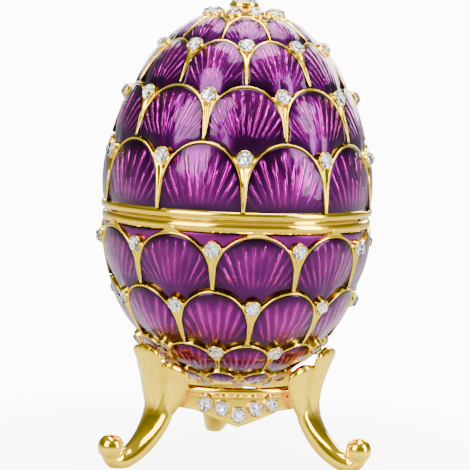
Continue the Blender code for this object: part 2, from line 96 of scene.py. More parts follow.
# How finely the castings are cut up
HALF_COLUMNS = 16
ENAMEL_RINGS = 9
BEAD_RINGS = 6
FILL_RINGS = 3
RIM_RINGS = 8
BOWL_RINGS = 14

# Stand: three legs with engraved veins on their leaves, and five crystals on each pendant
LEGS = 3
PLATE_HALF_ARC = 31.0
PLATE_JEWELS = 5
PLATE_JEWEL_PITCH = 11.5
PLATE_JEWEL_BEND = 0.6
SIDE_LOBE_ARC = 18.0
VEINS = (-20.0, -6.5, 0.0, 6.5, 20.0)
VEIN_START, VEIN_HALF_ARC = 0.25, 0.9
LEG_STATIONS, LEG_SIDES = 80, 48
LOBE_STATIONS, LOBE_SIDES = 40, 32

# Small sizes of the castings' edges
MERGE = 0.002 * MM
HEM = 0.05 * MM
CORNER = 0.1 * MM
SOFT_CORNER = 0.15 * MM
LID_EDGE = 0.2 * MM
BEAD_INSET = 0.3 * MM
CRADLE_GAP = 0.3 * MM

# Cut of a crystal, above and below its girdle: shares of its width and height, sides and turn
CROWN_CUT = ((1.0, 0.0, 16, 0.0), (1.0, 0.12, 16, 0.0), (0.82, 0.58, 8, 0.0), (0.56, 1.0, 8, 22.5))
PAVILION_CUT = ((0.96, -0.04, 8, 0.0), (0.62, -0.5, 8, 22.5), (0.0, -1.0, 1, 0.0))

# How far crystals and their cups reach down where they are shallower than the egg's
LOWEST_DEPTH, LOWEST_CUP = 0.3 * MM, 0.4 * MM
FINIAL_CUP, STAND_CUP = 0.3 * MM, 0.5 * MM

# The share of a set crystal's reach from the egg that the stand's leaves keep clear of
JEWEL_LEAN = 0.75

SMOOTH = {"interpolation_type": "SMOOTHSTEP"}
TIMES = {"operation": "MULTIPLY"}
FINISHED = {}


def length(name, description, default_mm):
    return FloatProperty(
        name=name, description=description, default=default_mm * MM, min=0.0,
        subtype="DISTANCE", unit="LENGTH", precision=5,
    )


def linear(code):
    """A hex sRGB colour as the linear red, green and blue that shaders take."""
    parts = [int(code[i : i + 2], 16) / 255 for i in (1, 3, 5)]
    return [c / 12.92 if c <= 0.04045 else ((c + 0.055) / 1.055) ** 2.4 for c in parts]


def colour(name, description, code):
    return FloatVectorProperty(
        name=name, description=description, default=linear(code), min=0.0, max=1.0,
        subtype="COLOR", size=3,
    )


class EggSizes(PropertyGroup):
    radius: length("Radius", "Radius of the base's egg form at the seam", 20.0)
    overhang: length("Lid overhang", "How far the lid reaches past the base", 0.2)
    lid_rise: length("Lid rise", "Height of the lid's egg form over the seam", 30.6)
    base_depth: length("Base depth", "Depth of the base's egg form under the seam", 26.0)
    wall: length("Wall", "Thickness of the lid's wall at the top", 1.8)
    floor: length("Floor", "Thickness of the base's floor", 1.2)
    rim_wall: length("Rim wall", "Thickness of the lid's wall at the seam", 1.3)
    rim_bulge: length("Rim bulge", "How far the rim mouldings stand out", 0.35)
    lid_rim: length("Lid rim height", "Height of the lid's rim moulding", 1.3)
    base_rim: length("Base rim height", "Height of the base's rim moulding", 1.5)
    lip_height: length("Lip height", "How far the lip stands over the seam", 1.4)
    lip_wall: length("Lip wall", "Thickness of the lip that keeps the lid in place", 0.8)
    lip_clearance: length("Lip clearance", "Gap between the lip and the lid", 0.3)
    scale_rise: length("Scale rise", "How far a scale's tip stands over the next row", 0.5)
    scale_crown: length("Scale crown", "How far the middle of a scale swells", 0.35)
    line_width: length("Line width", "Width of the gold line round a scale", 0.32)
    line_rise: length("Line rise", "How far a gold line stands over the enamel", 0.1)
    wedge_sink: length("Wedge sink", "How far the gold between two scales lies lower", 0.25)
    enamel_depth: length("Enamel depth", "Thickness of the enamel", 0.2)
    seat_lap: length("Seat lap", "How far the gold reaches past a crystal's middle", 0.75)


class CrystalSizes(PropertyGroup):
    width: length("Width", "Diameter of a set crystal", 2.2)
    height: length("Height", "Height of a set crystal over its cup", 0.8)
    finial_width: length("Finial width", "Diameter of the crystal on top", 4.3)
    finial_height: length("Finial height", "Height of the crystal on top", 1.2)
    gap: length("Gap", "Gap between a crystal and the gold below it", 0.3)
    border: length("Border", "How far a cup reaches past its crystal", 0.14)
    depth: length("Depth", "Depth of an egg crystal below its girdle", 0.35)
    deep: length("Stand crystal depth", "Depth of the stand's and the top's crystals", 0.5)
    cup_reach: length("Cup reach", "How far a cup reaches below its crystal's girdle", 0.75)
    cup: length("Finial cup height", "Height of the cup under the crystal on top", 0.7)
    neck: length("Finial neck", "Radius of the neck under the crystal on top", 1.6)
    crown_radius: length("Crown radius", "Radius of the gold cap at the lid's top", 3.4)
    crown_rise: length("Crown rise", "How far the crown's gold stands out", 0.3)
    lowest_width: length("Lowest width", "Diameter of the base's lowest crystals", 2.09)
    lowest_height: length("Lowest height", "Height of the base's lowest crystals", 0.75)
    lowest_lift: length("Lowest lift", "How far the base's lowest crystals stand out", 0.5)


class StandSizes(PropertyGroup):
    ring_radius: length("Ring radius", "Outer radius of the ring's bead", 12.6)
    ring_top: length("Ring top", "Height of the ring's top", 12.5)
    bead: length("Bead", "Height of the ring's bead", 1.3)
    plate: length("Plate", "Thickness of the ring's plate", 1.3)
    plate_inset: length("Plate inset", "How far the plate lies behind the bead", 0.4)
    plate_tip: length("Pendant tip", "Height of a pendant's tip", 6.6)
    plate_side: length("Pendant side", "Height of a pendant's ends", 8.8)
    jewel_margin: length("Crystal margin", "From a pendant's tip up to its lowest crystal", 1.9)
    jewel_lift: length("Crystal lift", "How far a crystal lies over the one before", 0.95)
    leaf_top: length("Leaf top", "Height of the middle leaf's tip", 18.2)
    leaf_thickness: length("Leaf thickness", "Thickness of the leaves", 1.6)
    leaf_width: length("Leaf width", "Width of the middle leaf", 6.8)
    lobe_top: length("Side lobe top", "Height of a side lobe's tip", 15.6)
    lobe_width: length("Side lobe width", "Width of a side lobe", 5.6)
    stem_height: length("Stem height", "Height at which the stem leaves the ring", 8.0)
    stem_width: length("Stem width", "Width of the stem", 6.6)
    stem_thickness: length("Stem thickness", "Thickness of the stem", 2.8)
    stem_lap: length("Stem lap", "How far the stem's back runs into the ring", 0.5)
    foot_radius: length("Foot radius", "From the egg's axis to a ball", 21.3)
    foot_width: length("Foot width", "Width of a foot", 3.8)
    foot_thickness: length("Foot thickness", "Thickness of a foot", 2.8)
    foot_flat: length("Foot flat", "How much of a foot the ground cuts off", 0.45)
    ball_radius: length("Ball radius", "Radius of the ball on a foot", 1.95)
    ball_height: length("Ball height", "Height of a ball's middle", 3.15)
    vein_depth: length("Vein depth", "Depth of the veins engraved in the leaves", 0.22)
    grain: length("Casting grain", "Size of the smallest form that the casting keeps", 0.17)


class Finishes(PropertyGroup):
    gold: colour("Gold", "Gold plate", "#FFD71E")
    deep_enamel_and_edge_shade: colour("Deep enamel", "Enamel where it lies thickest", "#2A0428")
    # Partly deeper enamel, partly painted shade: the enamel's edges along the gold lines are painted
    # in this darker colour
    enamel_mid: colour("Enamel", "Enamel over the engraved casting", "#4E0650")
    painted_ray_reflection: colour("Engraved rays", "Light that the engraved rays throw back", "#B41498")
    # Painted reflection: this bright magenta is painted into the enamel where the engraved rays would
    # throw back the light
    crystal: colour("Crystal", "Cut crystal", "#FFFFFF")
    foil: colour("Foil", "Silver foil behind the crystals", "#F2F3F5")
    floor: colour("Floor", "Studio floor", "#FFFFFF")
    rays: IntProperty(name="Rays", description="Engraved rays in half a turn", default=25, min=3)


def place(radius, angle, height):
    """A point at an angle round the egg's axis."""
    turn = math.radians(angle)
    return Vector((radius * math.sin(turn), AXIS_Y - radius * math.cos(turn), height))


def heading(out, up, angle):
    """A direction that leans outward and upward at an angle round the axis."""
    turn = math.radians(angle)
    return Vector((out * math.sin(turn), -out * math.cos(turn), up)).normalized()


class Half:
    """One half of the egg: an ellipse turned about the axis, above or below the seam."""

    def __init__(self, radius, rise, turn):
        self.radius = radius
        self.rise = rise
        self.turn = turn

    def normal(self, arc):
        t = math.radians(arc)
        return Vector((self.rise * math.cos(t), self.radius * math.sin(t))).normalized()

    def profile(self, arc, lift=0.0):
        t = math.radians(arc)
        out = self.normal(arc)
        radius = self.radius * math.cos(t) + lift * out.x
        return radius, SEAM + self.rise * math.sin(t) + lift * out.y

    def at(self, arc, angle, lift=0.0):
        radius, height = self.profile(arc, lift)
        return place(radius, angle + self.turn, height)

    def out(self, arc, angle):
        normal = self.normal(arc)
        return heading(normal.x, normal.y, angle + self.turn)

    def rate(self, arc):
        """Metres along the surface for each degree of arc."""
        t = math.radians(arc)
        return math.radians(math.hypot(self.radius * math.sin(t), self.rise * math.cos(t)))


def lid_half():
    egg = bpy.context.scene.egg_sizes
    return Half(egg.radius + egg.overhang, egg.lid_rise, LID_TURN)


def base_half():
    egg = bpy.context.scene.egg_sizes
    return Half(egg.radius, egg.base_depth, BASE_TURN)


def scale_rows(half, start, arcs, jewel_shares, first_phase):
    """Where each row of scales starts and ends, and where its crystals sit."""
    egg = bpy.context.scene.egg_sizes
    rows, low = [], start
    for number, (arc, share) in enumerate(zip(arcs, jewel_shares)):
        top = low + arc
        line = egg.line_width / half.rate(top)
        cusp = low + line + 2 * STEP_ARC if number else low + STEP_ARC
        jewel = cusp + share * (top - cusp)
        lap = egg.seat_lap / half.rate(top)
        phase = (first_phase + 0.5 * number) % 1.0
        row = {"cusp": cusp, "top": top, "line": line, "jewel": jewel, "lap": lap, "phase": phase}
        rows.append(dict(row, bridge=start, engraved=True))
        low = top
    return rows


def lid_rows():
    return scale_rows(lid_half(), LID_START, LID_ARCS, LID_JEWEL_SHARES, 0.5)


def base_rows():
    """The base's rows; gold joins the uppermost arches to the rim."""
    rows = scale_rows(base_half(), BASE_START, BASE_ARCS, BASE_JEWEL_SHARES, 0.0)
    rows[-1]["bridge"] = BASE_END + BRIDGE_ARC
    return rows


def across(row, angle):
    """Signed place across a scale: 0 at its middle, 1 and -1 at its junctions."""
    share = angle / SCALE_PITCH - row["phase"]
    return ((share + 0.5) % 1.0 - 0.5) * 2.0


def arch(row, angle):
    """The inner edge of a scale's gold line."""
    side = min(abs(across(row, angle)) / (1.0 - STEM_SHARE), 1.0)
    return row["cusp"] + (row["top"] - row["cusp"]) * (1.0 - side**2) ** (1.0 / ARCH_ROUNDNESS)


def gold_edges(half, row, angle):
    """Arcs where a scale's raised line starts and ends, and where the gold behind it ends."""
    inner = arch(row, angle)
    nudge = SCALE_PITCH / 200
    climb = (arch(row, angle + nudge) - arch(row, angle - nudge)) * half.rate(inner)
    along = math.radians(2 * nudge) * half.profile(inner)[0]
    line = row["line"] * math.hypot(1.0, climb / along)
    beside = (1.0 - abs(across(row, angle))) / SEAT_SPREAD
    bridge = row["bridge"] - BRIDGE_SLOPE * abs(across(row, angle))
    outer = max(inner + row["line"], row["jewel"] + row["lap"] * (1.0 - beside), bridge)
    line = min(line, outer - inner)
    return inner, inner + line, outer


def column_angles():
    """Angles of the columns, closest together at the middles and the junctions of scales."""
    shares = [0.5 - 0.5 * math.cos(math.pi * k / HALF_COLUMNS) for k in range(HALF_COLUMNS)]
    return [SCALE_PITCH / 2 * (half + share) for half in range(2 * SCALES) for share in shares]


def enamel_lift(share, side):
    """How far the enamel swells at a share of a scale's height and a place across it."""
    egg = bpy.context.scene.egg_sizes
    ramp = egg.scale_rise * share
    swell = (LEAST_SWELL + egg.scale_crown / egg.scale_rise * (1.0 - side**2)) * egg.scale_rise
    return ramp + swell * (4 * share * (1 - share)) ** SWELL_ROUNDNESS


class Skin:
    """Rings of gold points up a half of the egg, and the enamel cells that lie between them."""

    def __init__(self, half, rows):
        self.half = half
        self.rows = rows
        self.angles = column_angles()
        self.gold = []
        self.cells = []
        self.lower = []

    def turned(self, radius, height):
        """A level ring of gold."""
        self.gold.append([place(radius, a + self.half.turn, height) for a in self.angles])

    def rim(self, low, high):
        """A rounded moulding between two heights."""
        for k in range(RIM_RINGS + 1):
            share = k / RIM_RINGS
            curve = math.sin(math.pi * share) ** RIM_ROUNDNESS
            bulge = bpy.context.scene.egg_sizes.rim_bulge * curve
            self.turned(self.half.radius + bulge, low + share * (high - low))

    def laid(self, spots):
        """A ring of gold through (arc, lift) spots, one for each column."""
        half = self.half
        self.gold.append([half.at(arc, a, lift) for a, (arc, lift) in zip(self.angles, spots)])

    def bed(self, lower, upper, lift, row):
        """A cell's sunken gold floor, and the enamel that fills it."""
        half, depth = self.half, bpy.context.scene.egg_sizes.enamel_depth
        sides = [across(row, a) for a in self.angles]
        for share in (0.0, 0.33, 0.67, 1.0):
            spots = zip(lower, upper, sides)
            self.laid([(lo + share * (up - lo), lift(share, s) - depth) for lo, up, s in spots])
        rings = []
        for k in range(ENAMEL_RINGS + 1):
            share = 0.5 - 0.5 * math.cos(math.pi * k / ENAMEL_RINGS)
            ring = []
            for angle, lo, up, side in zip(self.angles, lower, upper, sides):
                arc = lo + share * (up - lo)
                ring.append((half.at(arc, angle, lift(share, side)), arc, angle, share))
            rings.append(ring)
        self.cells.append((row, rings))

    def scales(self, start):
        """Every row upward from an arc: the enamel's bed, the raised line, the gold behind it."""
        egg = bpy.context.scene.egg_sizes
        lower = [start] * len(self.angles)
        for row in self.rows:
            edges = [gold_edges(self.half, row, a) for a in self.angles]
            self.bed(lower, [inner for inner, _, _ in edges], enamel_lift, row)
            for k in range(BEAD_RINGS + 1):
                share = k / BEAD_RINGS
                curve = math.sin(math.pi * share) ** LINE_ROUNDNESS
                lift = egg.scale_rise + egg.line_rise * curve
                self.laid([(inner + share * (line - inner), lift) for inner, line, _ in edges])
            for k in range(1, FILL_RINGS + 1):
                share = k / FILL_RINGS
                spots = []
                for angle, (_, line, outer) in zip(self.angles, edges):
                    sink = egg.wedge_sink * abs(across(row, angle)) ** 4 * min(1.0, 2 * share)
                    spots.append((line + share * (outer - line), egg.scale_rise - sink))
                self.laid(spots)
            lower = [outer + STEP_ARC for _, _, outer in edges]
        self.lower = lower


def join_up(shape, rings):
    """Faces between each closed ring of corners and the next."""
    for low, high in zip(rings, rings[1:]):
        for i in range(len(low)):
            j = (i + 1) % len(low)
            shape.faces.new((low[i], low[j], high[j], high[i]))


def join_round(shape, outlines):
    """Faces between closed outlines that stand round an axis, and from the last to the first."""
    for here, there in zip(outlines, outlines[1:] + outlines[:1]):
        for k in range(len(here)):
            m = (k + 1) % len(here)
            shape.faces.new((here[k], there[k], there[m], here[m]))


def shell_of(rings, low_pole, high_pole):
    """A closed skin through rings of points, with its ends drawn in to the poles."""
    shape = bmesh.new()
    made = [[shape.verts.new(point) for point in ring] for ring in rings]
    join_up(shape, made)
    for ring, pole in ((made[0], low_pole), (made[-1], high_pole)):
        tip = shape.verts.new(pole)
        for i in range(len(ring)):
            shape.faces.new((ring[i], ring[(i + 1) % len(ring)], tip))
    bmesh.ops.remove_doubles(shape, verts=shape.verts, dist=MERGE)
    bmesh.ops.recalc_face_normals(shape, faces=shape.faces)
    return shape


def mesh_of(shape, name, smooth=40.0):
    mesh = bpy.data.meshes.new(name)
    shape.to_mesh(mesh)
    shape.free()
    mesh.shade_smooth()
    mesh.set_sharp_from_angle(angle=math.radians(smooth))
    return mesh


def show(name, mesh, material=None):
    obj = bpy.data.objects.new(name, mesh)
    bpy.context.scene.collection.objects.link(obj)
    if material:
        mesh.materials.append(material)
    return obj


def finished(obj):
    """The object's mesh with its modifiers worked in."""
    bpy.context.view_layer.update()
    graph = bpy.context.evaluated_depsgraph_get()
    mesh = bpy.data.meshes.new_from_object(obj.evaluated_get(graph), depsgraph=graph)
    mesh.name = obj.name
    obj.modifiers.clear()
    old = obj.data
    obj.data = mesh
    bpy.data.meshes.remove(old)
    return obj


def hand_over(obj, slot, *nodes):
    """Lets a finished piece ride with the box and stand for its nodes."""
    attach(obj, "root")
    if nodes:
        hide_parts(*nodes)


def enamel_piece(name, skin, material):
    """The enamel of every cell, with a map that fans out from the foot of each scale."""
    half = skin.half
    shape = bmesh.new()
    fan = shape.loops.layers.uv.new("fan")
    depth = shape.verts.layers.float.new("depth")
    for row, rings in skin.cells:
        made = []
        for ring in rings:
            verts = []
            for point, _, angle, share in ring:
                vert = shape.verts.new(point)
                side = min(abs(across(row, angle)), 1.0)
                # depth is 1 in the middle of a cell and falls to 0 at its edges, where the enamel is
                # darkened, partly deeper enamel and partly painted shade along the gold, and its
                # painted ray reflections fade out
                vert[depth] = (4 * share * (1 - share)) ** 0.5 * (1.0 - side**5)
                verts.append(vert)
            made.append(verts)
        reach = half.rate(row["top"]) * (row["top"] - row["cusp"])
        count = len(skin.angles)
        for k in range(len(rings) - 1):
            for i in range(count):
                j = (i + 1) % count
                ring_of = (k, k, k + 1, k + 1)
                column = (i, j, j, i)
                verts = [made[r][c] for r, c in zip(ring_of, column)]
                face = shape.faces.new(verts)
                middle = skin.angles[i] + 0.01
                centre = middle - across(row, middle) * SCALE_PITCH / 2
                for loop, r, c in zip(face.loops, ring_of, column):
                    _, arc, angle, _ = rings[r][c]
                    off = (angle - centre + 180.0) % 360.0 - 180.0
                    x = math.radians(off) * half.profile(arc)[0]
                    y = (arc - row["cusp"]) * half.rate(arc)
                    if not row["engraved"]:
                        x, y = 0.0, 0.5 * reach
                    spread = math.atan2(x, y + FAN_FOOT * reach)
                    loop[fan].uv = (spread / math.pi + 0.5, y / reach)
    bmesh.ops.remove_doubles(shape, verts=shape.verts, dist=MERGE)
    obj = show(name, mesh_of(shape, name, 60.0), material)
    wall = obj.modifiers.new("thickness", "SOLIDIFY")
    wall.thickness = 0.9 * bpy.context.scene.egg_sizes.enamel_depth
    wall.offset = -1.0
    return finished(obj)


def fill(tree, node, **inputs):
    """Fills inputs, by name or _number, with values, sockets or the first output of nodes."""
    for key, value in inputs.items():
        socket = node.inputs[int(key[1:])] if key[1:].isdigit() else node.inputs[key.replace("_", " ")]
        if isinstance(value, bpy.types.Node):
            value = value.outputs[0]
        if isinstance(value, bpy.types.NodeSocket):
            tree.links.new(value, socket)
        else:
            socket.default_value = value


def add_node(tree, kind, settings=None, **inputs):
    """Adds a node with its properties and inputs."""
    node = tree.nodes.new(kind)
    for key, value in (settings or {}).items():
        setattr(node, key, value)
    fill(tree, node, **inputs)
    return node


def new_material(name):
    material = bpy.data.materials.new(name)
    material.use_nodes = True
    tree = material.node_tree
    tree.nodes.clear()
    shader = add_node(tree, "ShaderNodeBsdfPrincipled")
    add_node(tree, "ShaderNodeOutputMaterial", Surface=shader)
    return material, tree, shader


def plate_gold():
    """Gold plate over polished casting: faint ripples that break up each reflection."""
    material, tree, shader = new_material("polished gold plate")
    tint = (*bpy.context.scene.finishes.gold, 1.0)
    where = add_node(tree, "ShaderNodeTexCoord").outputs["Object"]
    ripple_mm, ripple_depth_mm = 2.6, 0.12
    ripple = add_node(tree, "ShaderNodeTexNoise", Vector=where, Scale=1 / (ripple_mm * MM), Detail=2.0)
    wear = add_node(
        tree, "ShaderNodeMapRange", Value=ripple,
        From_Min=0.3, From_Max=0.7, To_Min=0.07, To_Max=0.17,
    )
    bump = add_node(
        tree, "ShaderNodeBump", Height=ripple, Strength=0.35,
        Distance=ripple_depth_mm * MM,
    )
    fill(tree, shader, Base_Color=tint, Metallic=1.0, Roughness=wear, Normal=bump)
    return material


def cloisonne_enamel():
    """Translucent enamel over an engraved casting: bright rays deep under a glassy surface, their
    brightness a painted reflection with a painted highlight at each scale's middle, and edges
    darkened, partly deeper enamel and partly painted shade.
    """
    finishes = bpy.context.scene.finishes
    material, tree, shader = new_material("translucent enamel")
    where = add_node(tree, "ShaderNodeTexCoord").outputs["Object"]
    fan = add_node(tree, "ShaderNodeUVMap", {"uv_map": "fan"}).outputs[0]
    axes = add_node(tree, "ShaderNodeSeparateXYZ", _0=fan)
    stray_mm, stray_share = 1.8, 0.009
    stray = add_node(tree, "ShaderNodeTexNoise", Vector=where, Scale=1 / (stray_mm * MM), Detail=2.0)
    bent = add_node(
        tree, "ShaderNodeMath", {"operation": "MULTIPLY_ADD"},
        _0=stray, _1=stray_share, _2=axes,
    )
    turn = add_node(tree, "ShaderNodeMath", TIMES, _0=bent, _1=2 * math.pi * finishes.rays)
    wave = add_node(tree, "ShaderNodeMath", {"operation": "SINE"}, _0=turn)
    aside = add_node(tree, "ShaderNodeMath", {"operation": "SUBTRACT"}, _0=axes, _1=0.5)
    off = add_node(tree, "ShaderNodeMath", {"operation": "ABSOLUTE"}, _0=aside)
    # Painted highlight: towards a scale's middle part of the ray colour is mixed in between the rays
    # as well, a bright patch that fades to the sides
    painted_middle_highlight = add_node(
        tree, "ShaderNodeMapRange", SMOOTH, Value=off,
        From_Min=0.15, From_Max=0.02, To_Max=0.3,
    )
    # The engraved rays: a wave across the fan that mixes in the painted reflection colour on each ray
    ray = add_node(tree, "ShaderNodeMapRange", SMOOTH, Value=wave, From_Min=-0.2, To_Min=painted_middle_highlight)
    # The painted ray reflections fade in above a scale's foot and out near its top, and break up in
    # patches
    ray_start = add_node(tree, "ShaderNodeMapRange", SMOOTH, Value=axes.outputs[1], From_Max=0.3)
    ray_end = add_node(
        tree, "ShaderNodeMapRange", SMOOTH, Value=axes.outputs[1], From_Min=1.0, From_Max=0.75
    )
    change_mm = 14.0
    drift = add_node(
        tree, "ShaderNodeVectorMath", {"operation": "SCALE"}, _0=where, Scale=1 / (change_mm * MM)
    )
    streak = add_node(
        tree, "ShaderNodeVectorMath", {"operation": "MULTIPLY_ADD"},
        _0=fan, _1=(0.8 * finishes.rays, 2.2, 0.0), _2=drift,
    )
    patch = add_node(tree, "ShaderNodeTexNoise", Vector=streak, Scale=1.0, Detail=1.0)
    broken = add_node(
        tree, "ShaderNodeMapRange", Value=patch, From_Min=0.38, From_Max=0.58, To_Min=0.2
    )
    bright = ray
    for factor in (ray_start, ray_end, broken):
        bright = add_node(tree, "ShaderNodeMath", TIMES, _0=bright, _1=factor)
    # Painted shade: near a cell's edges the enamel turns to the deep colour and loses its painted ray
    # reflections, partly deeper enamel and partly shade along the raised gold
    depth = add_node(tree, "ShaderNodeAttribute", {"attribute_name": "depth"}).outputs["Fac"]
    thin = add_node(tree, "ShaderNodeMapRange", SMOOTH, Value=depth, From_Min=0.25, From_Max=0.95)
    body = add_node(
        tree, "ShaderNodeMix", {"data_type": "RGBA"}, _0=thin,
        _6=(*finishes.deep_enamel_and_edge_shade, 1.0), _7=(*finishes.enamel_mid, 1.0),
    )
    lit = add_node(tree, "ShaderNodeMath", TIMES, _0=bright, _1=thin)
    # Painted reflection: the light of the rays is mixed over the enamel's own colour
    final = add_node(
        tree, "ShaderNodeMix", {"data_type": "RGBA"}, _0=lit,
        _6=body.outputs[2], _7=(*finishes.painted_ray_reflection, 1.0),
    )
    ray_depth_mm, pool_mm, pool_depth_mm = 0.3, 3.0, 0.25
    bump = add_node(tree, "ShaderNodeBump", Height=lit, Strength=1.0, Distance=ray_depth_mm * MM)
    pool = add_node(tree, "ShaderNodeTexNoise", Vector=where, Scale=1 / (pool_mm * MM), Detail=1.0)
    wavy = add_node(tree, "ShaderNodeBump", Height=pool, Strength=1.0, Distance=pool_depth_mm * MM)
    fill(
        tree, shader, Base_Color=final.outputs[2], Normal=bump, Metallic=1.0, Roughness=0.26,
        Coat_Weight=0.45, Coat_Roughness=0.02, Coat_IOR=1.36, Coat_Normal=wavy,
    )
    return material


def cut_crystal():
    """Lead crystal: clear, with sharp bright facets."""
    material, tree, shader = new_material("cut crystal")
    tint = (*bpy.context.scene.finishes.crystal, 1.0)
    fill(tree, shader, Base_Color=tint, Roughness=0.0, IOR=1.57, Transmission_Weight=1.0)
    return material


def silver_foil():
    """The silvered back of a crystal: small facets that each throw back another bit of light."""
    material, tree, shader = new_material("silver foil")
    tint = (*bpy.context.scene.finishes.foil, 1.0)
    where = add_node(tree, "ShaderNodeTexCoord").outputs["Object"]
    facet_mm, facet_depth_mm = 0.7, 0.35
    facets = add_node(tree, "ShaderNodeTexVoronoi", Vector=where, Scale=1 / (facet_mm * MM))
    bump = add_node(
        tree, "ShaderNodeBump", Height=facets.outputs["Distance"], Strength=1.0,
        Distance=facet_depth_mm * MM,
    )
    fill(tree, shader, Base_Color=tint, Metallic=1.0, Roughness=0.08, Normal=bump)
    return material


def finish(make):
    """A material, made once."""
    if make not in FINISHED:
        FINISHED[make] = make()
    return FINISHED[make]


def cut_points(cut, width, height):
    """Corners of a cut crystal, with its girdle at height 0."""
    points = []
    for share, level, sides, turn in cut:
        for i in range(sides):
            a = math.radians(360.0 * i / sides + turn)
            r = share * width / 2
            points.append(Vector((r * math.cos(a), r * math.sin(a), level * height)))
    return points


def hull(points, name):
    shape = bmesh.new()
    verts = [shape.verts.new(p) for p in points]
    found = bmesh.ops.convex_hull(shape, input=verts)
    loose = [v for v in found["geom_interior"] if isinstance(v, bmesh.types.BMVert)]
    bmesh.ops.delete(shape, geom=loose, context="VERTS")
    bmesh.ops.recalc_face_normals(shape, faces=shape.faces)
    return mesh_of(shape, name, 4.0)


def gem_mesh(width, height, depth):
    crown = cut_points(CROWN_CUT, width, height)
    return hull(crown + cut_points(PAVILION_CUT, width, depth), "cut crystal")


def foil_mesh(width, depth):
    """A thin lining that follows the crystal's back, just below it."""
    slack, inner_share, rim = 0.03 * MM, 0.9, PAVILION_CUT[0][2]
    points = [p - Vector((0, 0, slack)) for p in cut_points(PAVILION_CUT, width, depth)]
    return hull(points + [p * inner_share for p in points[:rim]], "silver foil")


def cup_mesh(width, border, foot, lip):
    """A turned gold cup: a plain collar with a rounded lip that holds the crystal's girdle."""
    slack, taper, sides, lip_steps = 0.01 * MM, 0.02 * MM, 20, 4
    outer = width / 2 + border
    inner = width / 2 + slack
    middle, half = (outer + inner) / 2, (outer - inner) / 2
    profile = [(outer + CORNER, foot), (outer + taper, 0.5 * foot), (outer, lip - CORNER - taper)]
    for k in range(lip_steps + 1):
        t = math.pi * k / lip_steps
        profile.append((middle + half * math.cos(t), lip - CORNER + CORNER * math.sin(t)))
    profile += [(inner, 0.5 * foot), (inner, foot)]
    shape = bmesh.new()
    rings = []
    for i in range(sides):
        a = 2 * math.pi * i / sides
        rings.append([shape.verts.new((r * math.cos(a), r * math.sin(a), z)) for r, z in profile])
    join_round(shape, rings)
    bmesh.ops.recalc_face_normals(shape, faces=shape.faces)
    return mesh_of(shape, "cup", 50.0)


def setting_tree():
    """Geometry Nodes that set a shape on every place, turned along the place's direction."""
    if "set on places" in bpy.data.node_groups:
        return bpy.data.node_groups["set on places"]
    tree = bpy.data.node_groups.new("set on places", "GeometryNodeTree")
    for name, kind in (
        ("Places", "NodeSocketGeometry"),
        ("Shape", "NodeSocketObject"),
        ("Finish", "NodeSocketMaterial"),
    ):
        tree.interface.new_socket(name, in_out="INPUT", socket_type=kind)
    tree.interface.new_socket("Pieces", in_out="OUTPUT", socket_type="NodeSocketGeometry")
    given = add_node(tree, "NodeGroupInput").outputs
    shape = add_node(tree, "GeometryNodeObjectInfo", Object=given["Shape"])
    out = add_node(tree, "GeometryNodeInputNamedAttribute", {"data_type": "FLOAT_VECTOR"}, Name="out")
    turned = add_node(tree, "FunctionNodeAlignRotationToVector", {"axis": "Z"}, Vector=out)
    copies = add_node(
        tree, "GeometryNodeInstanceOnPoints", Points=given["Places"],
        Instance=shape.outputs["Geometry"], Rotation=turned,
    )
    real = add_node(tree, "GeometryNodeRealizeInstances", Geometry=copies)
    coloured = add_node(tree, "GeometryNodeSetMaterial", Geometry=real, Material=given["Finish"])
    add_node(tree, "NodeGroupOutput", Pieces=coloured)
    return tree


def set_shapes(name, places, shape, material):
    """One plain mesh of the shape, set at every (spot, direction)."""
    mesh = bpy.data.meshes.new(name)
    mesh.from_pydata([spot for spot, _ in places], [], [])
    out = mesh.attributes.new("out", "FLOAT_VECTOR", "POINT")
    out.data.foreach_set("vector", [c for _, direction in places for c in direction])
    obj = show(name, mesh)
    pattern = show("pattern", shape)
    setter = obj.modifiers.new("set", "NODES")
    setter.node_group = setting_tree()
    sockets = {item.name: item.identifier for item in setter.node_group.interface.items_tree}
    setter[sockets["Shape"]] = pattern
    setter[sockets["Finish"]] = material
    finished(obj)
    bpy.data.objects.remove(pattern)
    return obj


def set_crystals(name, places, size, depth, reach, nodes=()):
    """Crystals of a width and height in their cups, over their foil, as three pieces."""
    width, height = size
    lip = 0.18 * height
    cup = cup_mesh(width, bpy.context.scene.crystal_sizes.border, -reach, lip)
    gems = set_shapes(f"{name}_crystals", places, gem_mesh(width, height, depth), finish(cut_crystal))
    foils = set_shapes(f"{name}_foils", places, foil_mesh(width, depth), finish(silver_foil))
    cups = set_shapes(f"{name}_cups", places, cup, finish(plate_gold))
    hand_over(gems, "crystal", *nodes)
    hand_over(foils, "crystal")
    hand_over(cups, "gold")


def junctions(half, row, lift):
    first = SCALE_PITCH * (row["phase"] + 0.5)
    angles = [first + SCALE_PITCH * n for n in range(SCALES)]
    return [(half.at(row["jewel"], a, lift), half.out(row["jewel"], a)) for a in angles]


def named(prefix):
    return [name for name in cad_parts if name.startswith(prefix)]


